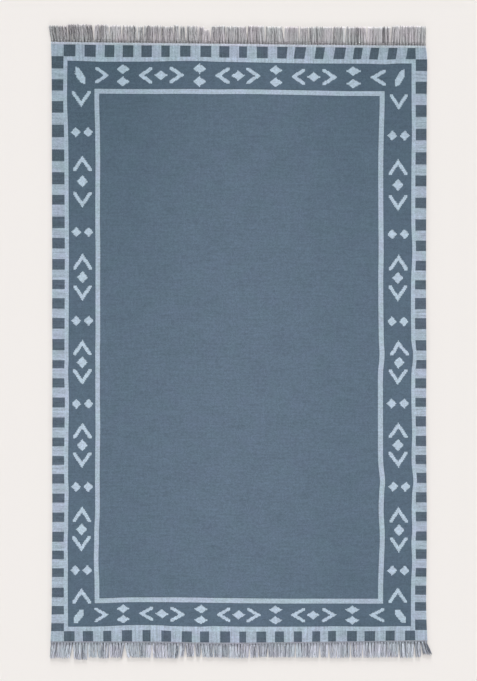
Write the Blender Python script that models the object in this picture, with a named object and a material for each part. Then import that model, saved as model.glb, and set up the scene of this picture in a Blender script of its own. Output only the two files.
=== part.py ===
"""Flatweave rug with a row of knots and a cut fringe along each end, lying flat.

The warps run along Y and the wefts along X. +X is the rug's right-hand side, +Y its far end, +Z up.
The origin lies on the floor under the middle of the whole outline, fringes included.
The sizes below are in millimetres, and the objects are built in metres.
"""
import math
import random
from bisect import bisect_right
from typing import NamedTuple

import bmesh
import bpy

MM = 0.001

# Woven cloth: its nominal half sizes, its thickness, and the rounding of its rim.
HALF_WIDTH = 762.0
HALF_LENGTH = 1216.0
CLOTH_THICKNESS = 4.5
RIM_ROUNDING = 1.2
SELVEDGE_SPANS = 40

# Row of knots: how many, and the narrow strip that they sit on.
KNOTS = 123
KNOTS_PER_END_SPAN = 3
CLOTH_GAP = 0.3
STRIP_DEPTH = 12.0
STRIP_HEIGHT = 4.0
KNOT_HEIGHT = 6.6
KNOT_SHARE = 0.84
KNOT_SHOULDER = 3.0

# Locks of the fringe: their shape from the knot to the cut tip.
LOCK_SHARE = 0.86
LOCK_BEND_POWER = 1.4
LOCK_TOP_SHARE = 0.72
TIP_UNEVENNESS = 1.8
CUT_SEED = 11
SMOOTH_ANGLE = math.radians(40.0)


class SelvedgeRow(NamedTuple):
    """How far the two long edges stand outside the nominal half width, at one place along."""

    along: float
    left_out: float
    right_out: float


class EndRow(NamedTuple):
    """How far the two ends stand outside the nominal half length, at one place across."""

    across: float
    near_out: float
    far_out: float


class LockLevel(NamedTuple):
    """One section of a lock: its share of the way to the tip, and its height."""

    share: float
    height: float


class Tuft(NamedTuple):
    """A group of locks that lie together, up to the parting on its right.

    last_knot counts the knots from the left up to the parting, notch is the parting's width
    between the tips, lean moves the tips sideways, and reach is how far the tips lie from the cloth.
    A notch below zero on the last tuft spreads it outwards.
    """

    last_knot: int
    notch: float
    lean: float
    reach: float


SELVEDGES = (
    SelvedgeRow(-1216.0, 4.1, 1.2),
    SelvedgeRow(-1146.0, 0.9, -1.6),
    SelvedgeRow(-1044.0, -1.2, -3.6),
    SelvedgeRow(-882.0, -2.0, -2.0),
    SelvedgeRow(-678.0, -3.2, -1.2),
    SelvedgeRow(-516.0, -2.4, -2.8),
    SelvedgeRow(-313.0, -3.6, -4.0),
    SelvedgeRow(-69.0, -3.2, -2.8),
    SelvedgeRow(175.0, -2.8, -4.0),
    SelvedgeRow(459.0, -2.4, -3.8),
    SelvedgeRow(743.0, -1.6, -2.4),
    SelvedgeRow(1028.0, -1.2, -1.2),
    SelvedgeRow(1158.0, 0.4, 0.4),
    SelvedgeRow(1216.0, 2.5, -4.8),
)

ENDS = (
    EndRow(-762.0, -3.1, 8.3),
    EndRow(-548.0, -2.3, 5.4),
    EndRow(-304.0, -0.6, 2.6),
    EndRow(-60.0, 3.4, 0.2),
    EndRow(184.0, 1.0, -2.7),
    EndRow(427.0, -2.3, -5.1),
    EndRow(671.0, -6.3, -7.2),
    EndRow(762.0, -7.9, -8.4),
)

LOCK_LEVELS = (
    LockLevel(0.34, 3.8),
    LockLevel(0.68, 3.3),
    LockLevel(1.0, 2.5),
)

FAR_TUFTS = (
    Tuft(6, 2.0, -12.0, 65.0),
    Tuft(14, 8.0, -5.0, 73.0),
    Tuft(19, 4.0, -1.0, 73.0),
    Tuft(23, 6.0, 0.0, 71.0),
    Tuft(28, 4.0, 1.0, 70.0),
    Tuft(30, 7.0, 3.0, 68.0),
    Tuft(36, 2.0, 1.0, 71.0),
    Tuft(40, 4.0, 0.0, 69.0),
    Tuft(42, 5.0, -2.0, 74.0),
    Tuft(44, 6.0, -1.0, 70.0),
    Tuft(48, 6.0, 1.0, 72.0),
    Tuft(52, 9.0, 0.0, 67.0),
    Tuft(57, 5.0, 1.0, 73.0),
    Tuft(64, 7.0, 0.0, 72.0),
    Tuft(70, 10.0, 0.0, 75.0),
    Tuft(76, 8.0, -3.0, 73.0),
    Tuft(81, 7.0, 0.0, 73.0),
    Tuft(84, 3.0, 0.0, 72.0),
    Tuft(92, 3.0, 0.0, 74.0),
    Tuft(96, 3.0, 0.0, 75.0),
    Tuft(103, 8.0, 2.0, 75.0),
    Tuft(111, 6.0, 1.0, 76.0),
    Tuft(123, 0.0, 1.0, 81.0),
)

NEAR_TUFTS = (
    Tuft(7, 14.0, -4.0, 64.0),
    Tuft(12, 3.0, -2.0, 69.0),
    Tuft(15, 4.0, 1.0, 62.0),
    Tuft(19, 5.0, 0.0, 64.0),
    Tuft(24, 20.0, -1.0, 61.0),
    Tuft(33, 12.0, 1.0, 60.0),
    Tuft(38, 3.0, 0.0, 62.0),
    Tuft(42, 6.0, -2.0, 62.0),
    Tuft(44, 11.0, -3.0, 55.0),
    Tuft(47, 6.0, 0.0, 54.0),
    Tuft(49, 8.0, 3.0, 53.0),
    Tuft(53, 5.0, 4.0, 56.0),
    Tuft(58, 4.0, 1.0, 55.0),
    Tuft(65, 6.0, -2.0, 58.0),
    Tuft(68, 5.0, 0.0, 56.0),
    Tuft(71, 5.0, -2.0, 55.0),
    Tuft(80, 7.0, 0.0, 57.0),
    Tuft(88, 9.0, -1.0, 59.0),
    Tuft(91, 8.0, 0.0, 59.0),
    Tuft(98, 4.0, 0.0, 62.0),
    Tuft(102, 7.0, 2.0, 61.0),
    Tuft(114, 9.0, 1.0, 63.0),
    Tuft(119, 6.0, 0.0, 66.0),
    Tuft(123, -14.0, 5.0, 63.0),
)


def read_smoothly(rows, column, at):
    """Read a column of a table between its rows, on a smooth curve. The first column is the key."""
    keys = [row[0] for row in rows]
    values = [getattr(row, column) for row in rows]
    at = min(max(at, keys[0]), keys[-1])
    start = min(bisect_right(keys, at) - 1, len(rows) - 2)
    slopes = []
    for row in (start, start + 1):
        before = max(row - 1, 0)
        after = min(row + 1, len(rows) - 1)
        slopes.append((values[after] - values[before]) / (keys[after] - keys[before]))
    span = keys[start + 1] - keys[start]
    share = (at - keys[start]) / span
    from_start = 2 * share ** 3 - 3 * share ** 2 + 1
    slope_start = share ** 3 - 2 * share ** 2 + share
    slope_end = share ** 3 - share ** 2
    curve = from_start * values[start] + (1 - from_start) * values[start + 1]
    return curve + span * (slope_start * slopes[0] + slope_end * slopes[1])


def cloth_point(across, along):
    """Place a point of the cloth's plan. across and along run from -1 to 1."""
    station = along * HALF_LENGTH
    left = -HALF_WIDTH - read_smoothly(SELVEDGES, "left_out", station)
    right = HALF_WIDTH + read_smoothly(SELVEDGES, "right_out", station)
    column = across * HALF_WIDTH
    near = -HALF_LENGTH - read_smoothly(ENDS, "near_out", column)
    far = HALF_LENGTH + read_smoothly(ENDS, "far_out", column)
    x = left + (right - left) * (across + 1) / 2
    y = near + (far - near) * (along + 1) / 2
    return x, y


def end_point(knot_place, side):
    """Place a point on the cloth's end, at a place counted in knots from the left.

    The end runs straight between points that are KNOTS_PER_END_SPAN knots apart.
    """
    spans = KNOTS // KNOTS_PER_END_SPAN
    place = knot_place / KNOTS_PER_END_SPAN
    start = min(int(place), spans - 1)
    share = place - start
    x0, y0 = cloth_point(2 * start / spans - 1, side)
    x1, y1 = cloth_point(2 * (start + 1) / spans - 1, side)
    return x0 + (x1 - x0) * share, y0 + (y1 - y0) * share


def cloth_outline():
    """List the cloth's outline once round, anticlockwise from the near left corner."""
    spans = KNOTS // KNOTS_PER_END_SPAN
    near = [end_point(KNOTS_PER_END_SPAN * step, -1) for step in range(spans)]
    right = [cloth_point(1, 2 * step / SELVEDGE_SPANS - 1) for step in range(SELVEDGE_SPANS)]
    far = [end_point(KNOTS_PER_END_SPAN * step, 1) for step in range(spans, 0, -1)]
    left = [cloth_point(-1, 2 * step / SELVEDGE_SPANS - 1) for step in range(SELVEDGE_SPANS, 0, -1)]
    return near + right + far + left


def inset_outline(outline, inset):
    """Move each point of an anticlockwise outline inwards by the inset, with mitred corners."""
    moved = []
    for index, (x, y) in enumerate(outline):
        normals = []
        for first, second in ((index - 1, index), (index, (index + 1) % len(outline))):
            along_x = outline[second][0] - outline[first][0]
            along_y = outline[second][1] - outline[first][1]
            length = math.hypot(along_x, along_y)
            normals.append((-along_y / length, along_x / length))
        (ax, ay), (bx, by) = normals
        scale = inset / (1 + ax * bx + ay * by)
        moved.append((x + (ax + bx) * scale, y + (ay + by) * scale))
    return moved


def new_vertex(bm, x, y, z):
    """Add a vertex given in millimetres."""
    return bm.verts.new((x * MM, y * MM, z * MM))


def bridge(bm, ring_a, ring_b):
    """Join two closed rings of the same length with quads."""
    for index in range(len(ring_a)):
        following = (index + 1) % len(ring_a)
        bm.faces.new((ring_a[index], ring_a[following], ring_b[following], ring_b[index]))


def make_material(name, colour, roughness):
    """Make a Principled material of one colour."""
    material = bpy.data.materials.new(name)
    material.use_nodes = True
    shader = material.node_tree.nodes["Principled BSDF"]
    shader.inputs["Base Color"].default_value = (*colour, 1.0)
    shader.inputs["Roughness"].default_value = roughness
    shader.inputs["Metallic"].default_value = 0.0
    return material


def finish_object(bm, name, material):
    """Turn the faces outwards, shade the object, and link it to the scene."""
    bmesh.ops.recalc_face_normals(bm, faces=bm.faces)
    mesh = bpy.data.meshes.new(name)
    bm.to_mesh(mesh)
    bm.free()
    mesh.shade_smooth()
    mesh.set_sharp_from_angle(angle=SMOOTH_ANGLE)
    mesh.materials.append(material)
    piece = bpy.data.objects.new(name, mesh)
    bpy.context.scene.collection.objects.link(piece)
    return piece


def build_cloth():
    """Build the woven cloth as a flat slab with a rounded rim."""
    outline = cloth_outline()
    narrow = inset_outline(outline, RIM_ROUNDING)
    sections = (
        (narrow, 0.0),
        (outline, RIM_ROUNDING),
        (outline, CLOTH_THICKNESS - RIM_ROUNDING),
        (narrow, CLOTH_THICKNESS),
    )
    bm = bmesh.new()
    rings = [[new_vertex(bm, x, y, z) for x, y in plan] for plan, z in sections]
    for lower, upper in zip(rings, rings[1:]):
        bridge(bm, lower, upper)
    bm.faces.new(reversed(rings[0]))
    bm.faces.new(rings[-1])
    return finish_object(bm, "rug_cloth", make_material("woven_blue", (0.13, 0.17, 0.22), 0.9))


def strip_column(bm, knot_place, side):
    """Add the strip's section at one place along the end: four corners, the cloth's side first."""
    x, y = end_point(knot_place, side)
    inner = y + side * CLOTH_GAP
    outer = inner + side * STRIP_DEPTH
    corners = ((inner, 0.0), (inner, STRIP_HEIGHT), (outer, STRIP_HEIGHT), (outer, 0.0))
    return [new_vertex(bm, x, corner_y, z) for corner_y, z in corners]


def raise_knot(bm, corners):
    """Raise a knot from the strip's top: shoulders that rise to a smaller flat top."""
    middle_x = sum(vert.co.x for vert in corners) / 4
    middle_y = sum(vert.co.y for vert in corners) / 4
    top = []
    for vert in corners:
        step_x = math.copysign(KNOT_SHOULDER * MM, middle_x - vert.co.x)
        step_y = math.copysign(KNOT_SHOULDER * MM, middle_y - vert.co.y)
        top.append(bm.verts.new((vert.co.x + step_x, vert.co.y + step_y, KNOT_HEIGHT * MM)))
    bridge(bm, corners, top)
    bm.faces.new(top)


def tuft_of(knot, tufts):
    """Find the tuft that a knot belongs to, with the knot and the notch that it starts at."""
    first_knot = 0
    left_notch = 0.0
    for tuft in tufts:
        if knot < tuft.last_knot:
            return tuft, first_knot, left_notch
        first_knot = tuft.last_knot
        left_notch = tuft.notch
    raise ValueError("the tufts leave a knot out")


def lock_tip(knot, tufts, side):
    """Work out where a lock's tip lies across the rug, and the spacing of the tips beside it."""
    tuft, first_knot, left_notch = tuft_of(knot, tufts)
    left = end_point(first_knot, side)[0] + left_notch / 2 + tuft.lean
    right = end_point(tuft.last_knot, side)[0] - tuft.notch / 2 + tuft.lean
    spacing = (right - left) / (tuft.last_knot - first_knot)
    return left + spacing * (knot + 0.5 - first_knot), spacing, tuft.reach


def grow_lock(bm, knot, root, tufts, side, chance):
    """Grow one four-sided lock from its root ring to its cut tip, level on the floor."""
    root_x, root_y = end_point(knot + 0.5, side)
    tip_x, tip_spacing, reach = lock_tip(knot, tufts, side)
    root_spacing = end_point(knot + 1, side)[0] - end_point(knot, side)[0]
    length = reach - CLOTH_GAP - STRIP_DEPTH + chance.uniform(-TIP_UNEVENNESS, TIP_UNEVENNESS)
    front = root_y + side * (CLOTH_GAP + STRIP_DEPTH)
    ring = root
    for level in LOCK_LEVELS:
        bend = level.share ** LOCK_BEND_POWER
        x = root_x + (tip_x - root_x) * bend
        y = front + side * length * level.share
        half = (root_spacing + (tip_spacing - root_spacing) * bend) * LOCK_SHARE / 2
        top_half = half * LOCK_TOP_SHARE
        corners = ((-half, 0.0), (-top_half, level.height), (top_half, level.height), (half, 0.0))
        section = [new_vertex(bm, x + offset, y, z) for offset, z in corners]
        bridge(bm, ring, section)
        ring = section
    bm.faces.new(ring)


def build_fringe(name, tufts, side, material):
    """Build a strip of raised knots with a lock from each, along one end of the cloth."""
    bm = bmesh.new()
    chance = random.Random(CUT_SEED)
    edge = (1 - KNOT_SHARE) / 2
    previous = None
    for knot in range(KNOTS):
        left = strip_column(bm, knot + edge, side)
        right = strip_column(bm, knot + 1 - edge, side)
        if previous is None:
            bm.faces.new(left)
        else:
            bridge(bm, previous, left)
        for low, high in ((3, 0), (0, 1)):
            bm.faces.new((left[low], left[high], right[high], right[low]))
        raise_knot(bm, (left[1], left[2], right[2], right[1]))
        grow_lock(bm, knot, (left[3], left[2], right[2], right[3]), tufts, side, chance)
        previous = right
    bm.faces.new(previous)
    return finish_object(bm, name, material)


def centre_on_outline(pieces):
    """Move the pieces so that the origin lies under the middle of the whole outline."""
    corners = [piece.matrix_world @ vert.co for piece in pieces for vert in piece.data.vertices]
    middle_x = (min(c.x for c in corners) + max(c.x for c in corners)) / 2
    middle_y = (min(c.y for c in corners) + max(c.y for c in corners)) / 2
    for piece in pieces:
        piece.location.x -= middle_x
        piece.location.y -= middle_y


def main():
    """Build the cloth and its two fringes."""
    for old in list(bpy.data.objects):
        bpy.data.objects.remove(old, do_unlink=True)
    far_yarn = make_material("fringe_yarn_far", (0.33, 0.33, 0.35), 0.95)
    near_yarn = make_material("fringe_yarn_near", (0.33, 0.33, 0.35), 0.95)
    pieces = [
        build_cloth(),
        build_fringe("fringe_far", FAR_TUFTS, 1, far_yarn),
        build_fringe("fringe_near", NEAR_TUFTS, -1, near_yarn),
    ]
    centre_on_outline(pieces)


main()
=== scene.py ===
"""Looks of a flatweave rug with knotted fringes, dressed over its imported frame.

The warps run along Y and the wefts along X. +Y is the far end, which the photograph shows at the top.
Sizes are in millimetres, measured from the middle of the woven cloth, and meshes are built in metres.
"""
import logging
import math
from dataclasses import dataclass, field
from enum import Enum
from typing import Callable, NamedTuple

import bpy
import numpy as np
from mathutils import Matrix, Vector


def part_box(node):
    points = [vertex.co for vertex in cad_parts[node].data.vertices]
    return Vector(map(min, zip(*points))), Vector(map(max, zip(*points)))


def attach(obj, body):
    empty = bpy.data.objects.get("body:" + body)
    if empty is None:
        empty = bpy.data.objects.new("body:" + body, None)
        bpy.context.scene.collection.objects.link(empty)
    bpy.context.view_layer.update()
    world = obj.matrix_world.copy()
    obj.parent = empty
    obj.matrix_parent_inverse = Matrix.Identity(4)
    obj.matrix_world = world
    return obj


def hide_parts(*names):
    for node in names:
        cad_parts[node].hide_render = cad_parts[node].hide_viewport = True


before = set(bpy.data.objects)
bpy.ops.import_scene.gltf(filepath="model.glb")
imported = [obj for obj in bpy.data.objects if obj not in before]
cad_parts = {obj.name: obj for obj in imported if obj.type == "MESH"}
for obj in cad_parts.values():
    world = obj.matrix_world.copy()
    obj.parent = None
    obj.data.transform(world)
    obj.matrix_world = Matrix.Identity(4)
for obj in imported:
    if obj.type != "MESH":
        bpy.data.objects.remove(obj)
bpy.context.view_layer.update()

MM = 0.001
LOG = logging.getLogger("flatweave_rug")


class End(Enum):
    """The two fringed ends, by the direction in which they point along Y."""

    FAR = 1
    NEAR = -1


class SelvedgeRow(NamedTuple):
    """How far the two selvedges stand outside the nominal half width, at one place along."""

    along: float
    left_out: float
    right_out: float


class EndRow(NamedTuple):
    """How far the two ends stand outside the nominal half length, at one place across."""

    across: float
    near_out: float
    far_out: float


class WarpDriftRow(NamedTuple):
    """How far the border's lines lie to the right of their nominal place, at one place along."""

    along: float
    left_outer: float
    left_inner: float
    right_inner: float
    right_outer: float


class WeftDriftRow(NamedTuple):
    """How far the border's lines lie beyond their nominal place towards +Y, at one place across."""

    across: float
    near_outer: float
    near_inner: float
    far_inner: float
    far_outer: float


class BlockRow(NamedTuple):
    """The two edges of one dark block of the outer border, on the first and the second side."""

    count: float
    first_start: float
    first_stop: float
    second_start: float
    second_stop: float


class MotifRow(NamedTuple):
    """The middle of one motif on the first and the second side, counted in repeats of the chart."""

    count: float
    first: float
    second: float


class LevelRow(NamedTuple):
    """One line of the border: its level, and how far in from the edge it lies on two sides."""

    level: float
    first: float
    second: float


class Tuft(NamedTuple):
    """A group of locks that lie together, up to the parting on its right.

    last_knot counts the knots from the left up to the parting, notch is the parting's width
    between the tips, lean moves the tips sideways, and reach is how far the tips lie from the cloth.
    """

    last_knot: int
    notch: float
    lean: float
    reach: float


def table(kind: type, *rows: tuple) -> tuple:
    """Make a table of named rows of one kind."""
    return tuple(kind(*row) for row in rows)


SELVEDGES = table(
    SelvedgeRow,
    (-1216, 4.1, 1.2), (-1146, 0.9, -1.6), (-1044, -1.2, -3.6), (-882, -2, -2), (-678, -3.2, -1.2),
    (-516, -2.4, -2.8), (-313, -3.6, -4), (-69, -3.2, -2.8), (175, -2.8, -4), (459, -2.4, -3.8),
    (743, -1.6, -2.4), (1028, -1.2, -1.2), (1158, 0.4, 0.4), (1216, 2.5, -4.8),
)

ENDS = table(
    EndRow,
    (-762, -3.1, 8.3), (-548, -2.3, 5.4), (-304, -0.6, 2.6), (-60, 3.4, 0.2), (184, 1, -2.7),
    (427, -2.3, -5.1), (671, -6.3, -7.2), (762, -7.9, -8.4),
)

WARP_DRIFT = table(
    WarpDriftRow,
    (-1216, -1, -1, -2, -3), (-1003, -2.8, -2.5, -1.8, -2.4), (-963, -2.8, -2.8, -1.5, -1.6),
    (-881, -2, -6, 1.6, 2), (-800, -3.7, -4.1, 5.3, -1), (-760, -1.6, -4.1, 4.9, 2.4),
    (-678, -1.2, -0.4, 0.4, 0.2), (-597, 0.8, -0.6, 3, 2.8), (-556, -1.2, -0.9, 6.3, 7.7),
    (-475, -1.2, -0.4, -1.6, 0), (-353, 0, 1.1, -2.4, 2), (-232, 2, 0.2, -2.6, -0.8),
    (-110, -1.4, 0.4, -2, -0.4), (-69, 0.8, 0, 2.5, 4.9), (-28, 0, -0.1, 3.9, 5.7), (12, 0.4, 1, 1.4, -1),
    (256, 1.6, 0.9, -1.2, -2), (378, 1.8, 1.4, 0.3, 3), (500, 1.2, 0.1, -0.6, -1.2),
    (743, -0.2, 1, -1.2, -0.4), (865, -1.8, -0.3, 1.2, 1.2), (987, -5.7, -3.1, 4.6, 0),
    (1216, -3, -1, 3, 0),
)

WEFT_DRIFT = table(
    WeftDriftRow,
    (-762, -1, -1, 3, 6), (-660, -1, -1, 2.6, 4.9), (-556, 0, -0.6, 2.4, 1.6), (-442, 4.9, 3.2, 1.2, 1.6),
    (-328, 4.9, 3.4, 0.7, 2.4), (-271, 1, 3.4, 1.6, 4.1), (-158, -1, 2.2, 1, 4.1),
    (-101, 0.6, 0.8, 0.2, 1.6), (13, -1.2, -0.6, 0.8, -0.6), (184, -1.2, -2.2, -2, -4.1),
    (297, -0.8, -2, -4.3, -5.7), (411, 0.4, -2.2, -6.7, -6.2), (525, -1.2, -2.4, -7.1, -6.9),
    (582, -0.6, -2.4, -7.2, -9.2), (640, 0.8, -2.4, -7.4, -6.1), (762, 0, -3, -7.6, -6.5),
)

# Depths in from the left and the right selvedge: blocks, outer guard, motif band, inner guard, field.
SIDE_LEVELS = table(
    LevelRow,
    (1, 0, 0), (2, 52.4, 46.7), (3, 67.8, 62.1), (4, 178.7, 177.1), (5, 195.4, 196.2), (6, 300, 300),
)

# Depths in from the far and the near end: last picks, blocks, outer guard, motif band, inner guard, field.
END_LEVELS = table(
    LevelRow,
    (0, 0, 0), (1, 9.6, 5.5), (2, 56.3, 49), (3, 73.8, 68.1), (4, 185.1, 163.1), (5, 204.2, 182.6),
    (6, 300, 300),
)

# Dark blocks down the left and the right selvedge, by the places of their edges along.
SIDE_BLOCKS = table(
    BlockRow,
    (0, 1161, 1111, 1162, 1112), (1, 1068, 1023, 1069, 1021), (2, 981, 934, 975, 927),
    (3, 885, 834, 878, 832), (4, 785, 737, 783, 733), (5, 693, 644, 688, 644), (6, 601, 562, 598, 556),
    (7, 513, 466, 510, 464), (8, 427, 384, 424, 381), (9, 341, 298, 342, 302), (10, 257, 219, 262, 225),
    (11, 183, 140, 191, 144), (12, 103, 59, 109, 63), (13, 17, -28, 19, -24), (14, -69, -101, -62, -97),
    (15, -142, -179, -136, -176), (16, -220, -260, -216, -252), (17, -300, -341, -290, -333),
    (18, -383, -417, -370, -412), (19, -457, -492, -448, -485), (20, -529, -568, -520, -562),
    (21, -609, -645, -599, -641), (22, -686, -723, -679, -718), (23, -764, -804, -759, -797),
    (24, -840, -874, -831, -871), (25, -911, -946, -908, -943), (26, -990, -1029, -979, -1018),
    (27, -1064, -1097, -1045, -1083), (28, -1134, -1170, -1119, -1164),
)

# Dark blocks along the far and the near end, by the places of their edges across.
END_BLOCKS = table(
    BlockRow,
    (0, -710, -662, -712, -667), (1, -626, -581, -634, -592), (2, -545, -506, -551, -518),
    (3, -472, -429, -475, -434), (4, -397, -354, -391, -359), (5, -316, -282, -315, -275),
    (6, -240, -198, -232, -191), (7, -158, -114, -158, -121), (8, -82, -41, -76, -35), (9, -2, 30, 2, 29),
    (10, 70, 114, 71, 111), (11, 152, 192, 146, 183), (12, 222, 266, 223, 256), (13, 306, 342, 298, 330),
    (14, 383, 427, 362, 394), (15, 461, 495, 439, 479), (16, 527, 562, 510, 553),
    (17, 600, 637, 596, 633), (18, 679, 726, 675, 717),
)

# Motifs down the left and the right band: a pair of diamonds at each whole count.
SIDE_MOTIFS = table(
    MotifRow,
    (-0.32, 988, 986), (0, 855, 850), (0.33, 727, 720), (0.68, 580, 575), (1, 450, 449), (1.5, 267, 272),
    (2, 91, 94), (3, -245, -239), (4, -581, -577), (4.5, -754, -755), (5, -919, -919),
    (5.33, -1025, -1021),
)

# Motifs along the far and the near band: a stack of diamonds at each whole count.
END_MOTIFS = table(
    MotifRow,
    (-0.29, -552, -555), (0, -470, -470), (0.5, -317, -312), (1, -161, -153), (1.5, -5, 0), (2, 147, 149),
    (2.5, 299, 302), (3, 459, 460), (3.3, 561, 562),
)

FAR_TUFTS = table(
    Tuft,
    (6, -4, -10, 67), (14, 8, -5, 73), (19, 4, -1, 73), (23, 6, 0, 71), (28, 4, 1, 70), (30, 7, 3, 68),
    (36, 2, 1, 71), (40, 4, 0, 69), (42, 5, -2, 74), (44, 6, -1, 70), (48, 5, 1, 73), (50, 1, 0, 68),
    (52, 8, 0, 58), (57, 5, 1, 73), (64, 7, 0, 72), (70, 10, 0, 75), (76, 8, -3, 73), (81, 7, 0, 73), (84, 3, 0, 72),
    (92, 3, 0, 74), (96, 3, 0, 75), (103, 8, 2, 75), (111, 6, 1, 76), (123, 0, 1, 81),
)

NEAR_TUFTS = table(
    Tuft,
    (7, 14, -4, 64), (12, 3, -2, 69), (15, 4, 1, 62), (19, 5, 0, 64), (24, 20, -1, 61), (33, 12, 1, 60),
    (38, 3, 0, 62), (42, 6, -2, 62), (44, 11, -3, 55), (47, 6, 0, 54), (49, 8, 3, 53), (53, 5, 4, 56),
    (58, 4, 1, 55), (65, 6, -2, 58), (68, 5, 0, 56), (71, 5, -2, 55), (80, 7, 0, 57), (88, 9, -1, 59),
    (91, 8, 0, 59), (98, 4, 0, 62), (102, 7, 2, 61), (114, 9, 1, 63), (119, 6, 0, 66), (121, 3, 3, 64), (123, -24, 8, 54),
)


def column(rows: tuple, name: str) -> np.ndarray:
    """Give one named column of a table."""
    return np.array([getattr(row, name) for row in rows], dtype=float)


def read_smoothly(rows: tuple, name: str, at: np.ndarray) -> np.ndarray:
    """Read a column of a table between its rows, on a smooth curve.

    Args:
        rows: the table, whose first column is the key and rises.
        name: the column to read.
        at: the keys to read it at.

    Returns:
        The values, one for each key.
    """
    keys = column(rows, rows[0]._fields[0])
    values = column(rows, name)
    slopes = np.empty_like(values)
    slopes[1:-1] = (values[2:] - values[:-2]) / (keys[2:] - keys[:-2])
    slopes[0] = (values[1] - values[0]) / (keys[1] - keys[0])
    slopes[-1] = (values[-1] - values[-2]) / (keys[-1] - keys[-2])
    at = np.clip(at, keys[0], keys[-1])
    start = np.clip(np.searchsorted(keys, at, side="right") - 1, 0, len(keys) - 2)
    span = keys[start + 1] - keys[start]
    share = (at - keys[start]) / span
    from_start = 2 * share ** 3 - 3 * share ** 2 + 1
    slope_start = share ** 3 - 2 * share ** 2 + share
    slope_end = share ** 3 - share ** 2
    curve = from_start * values[start] + (1 - from_start) * values[start + 1]
    return curve + span * (slope_start * slopes[start] + slope_end * slopes[start + 1])


def read_count(places: np.ndarray, counts: np.ndarray, at: np.ndarray) -> np.ndarray:
    """Turn places into counts, going on beyond the table's ends with their slope.

    Args:
        places: the table's places, which rise or fall.
        counts: the counts there, which rise.
        at: the places to count.

    Returns:
        The count at each place.
    """
    if places[0] > places[-1]:
        places = places[::-1]
        counts = counts[::-1]
    inside = np.interp(at, places, counts)
    low_slope = (counts[1] - counts[0]) / (places[1] - places[0])
    high_slope = (counts[-1] - counts[-2]) / (places[-1] - places[-2])
    below = np.minimum(at - places[0], 0.0) * low_slope
    above = np.maximum(at - places[-1], 0.0) * high_slope
    return inside + below + above


def count_motifs(rows: tuple, side: str, at: np.ndarray) -> np.ndarray:
    """Count motifs at places along a band, on the side that is named first or second."""
    return read_count(column(rows, side), column(rows, "count"), at)


def count_blocks(rows: tuple, side: str, at: np.ndarray) -> np.ndarray:
    """Count blocks at places along the border, so that each dark one fills half a count.

    Args:
        rows: the table of blocks.
        side: first or second.
        at: the places to count.

    Returns:
        The count at each place, whole in the middle of a dark block.
    """
    edges = np.stack((column(rows, side + "_start"), column(rows, side + "_stop")), axis=1).ravel()
    counts = (column(rows, "count")[:, None] + np.array([[-0.25, 0.25]])).ravel()
    return read_count(edges, counts, at)


@dataclass
class ClothPlan:
    """The woven cloth's plan: where each warp and pick lies on the floor."""

    half_width: float = 762.0
    half_length: float = 1216.0
    outer_guard_in: float = 65.0
    inner_guard_in: float = 187.0
    far_outer_in: float = 73.8
    far_inner_in: float = 194.6
    near_outer_in: float = 68.1
    near_inner_in: float = 172.8
    shift: tuple[float, float] = (0.0, 0.0)

    def settle(self, node: str) -> None:
        """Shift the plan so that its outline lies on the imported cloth's box.

        Args:
            node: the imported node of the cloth.
        """
        low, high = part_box(node)
        steps = np.linspace(-1.0, 1.0, 401)
        sides = [self.place(self.half_width * s * np.ones(401), self.half_length * steps) for s in (-1, 1)]
        ends = [self.place(self.half_width * steps, self.half_length * s * np.ones(401)) for s in (-1, 1)]
        middle_x = (sides[0][0].min() + sides[1][0].max()) / 2
        middle_y = (ends[0][1].min() + ends[1][1].max()) / 2
        self.shift = ((low[0] + high[0]) / 2 / MM - middle_x, (low[1] + high[1]) / 2 / MM - middle_y)

    def warp_drift(self, across: np.ndarray, along: np.ndarray) -> np.ndarray:
        """Work out how far warps lie from their nominal place, towards +X."""
        w = self.half_width
        lines = (-w, self.outer_guard_in - w, self.inner_guard_in - w, w - self.inner_guard_in,
                 w - self.outer_guard_in, w)
        drifts = (
            -read_smoothly(SELVEDGES, "left_out", along),
            read_smoothly(WARP_DRIFT, "left_outer", along),
            read_smoothly(WARP_DRIFT, "left_inner", along),
            read_smoothly(WARP_DRIFT, "right_inner", along),
            read_smoothly(WARP_DRIFT, "right_outer", along),
            read_smoothly(SELVEDGES, "right_out", along),
        )
        return blend_lines(across, lines, drifts)

    def weft_drift(self, across: np.ndarray, along: np.ndarray) -> np.ndarray:
        """Work out how far picks lie from their nominal place, towards +Y."""
        h = self.half_length
        lines = (-h, self.near_outer_in - h, self.near_inner_in - h, h - self.far_inner_in,
                 h - self.far_outer_in, h)
        drifts = (
            -read_smoothly(ENDS, "near_out", across),
            read_smoothly(WEFT_DRIFT, "near_outer", across),
            read_smoothly(WEFT_DRIFT, "near_inner", across),
            read_smoothly(WEFT_DRIFT, "far_inner", across),
            read_smoothly(WEFT_DRIFT, "far_outer", across),
            read_smoothly(ENDS, "far_out", across),
        )
        return blend_lines(along, lines, drifts)

    def place(self, across: np.ndarray, along: np.ndarray) -> tuple[np.ndarray, np.ndarray]:
        """Place points of the cloth on the floor.

        Args:
            across: nominal places across, to the right of the middle.
            along: nominal places along, beyond the middle.

        Returns:
            Their x and y in the frame, in millimetres.
        """
        across = np.asarray(across, dtype=float)
        along = np.asarray(along, dtype=float)
        x = across + self.warp_drift(across, along) + self.shift[0]
        y = along + self.weft_drift(across, along) + self.shift[1]
        return x, y


def blend_lines(at: np.ndarray, lines: tuple, values: tuple) -> np.ndarray:
    """Blend values that are known on a few lines, straight between each line and the next.

    Args:
        at: the places.
        lines: the lines' places, rising.
        values: for each line an array of values, one for each place.

    Returns:
        The blended values.
    """
    blended = np.array(values[0], dtype=float)
    for index in range(len(lines) - 1):
        share = np.clip((at - lines[index]) / (lines[index + 1] - lines[index]), 0.0, 1.0)
        blended = blended + share * (values[index + 1] - values[index])
    return blended


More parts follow.
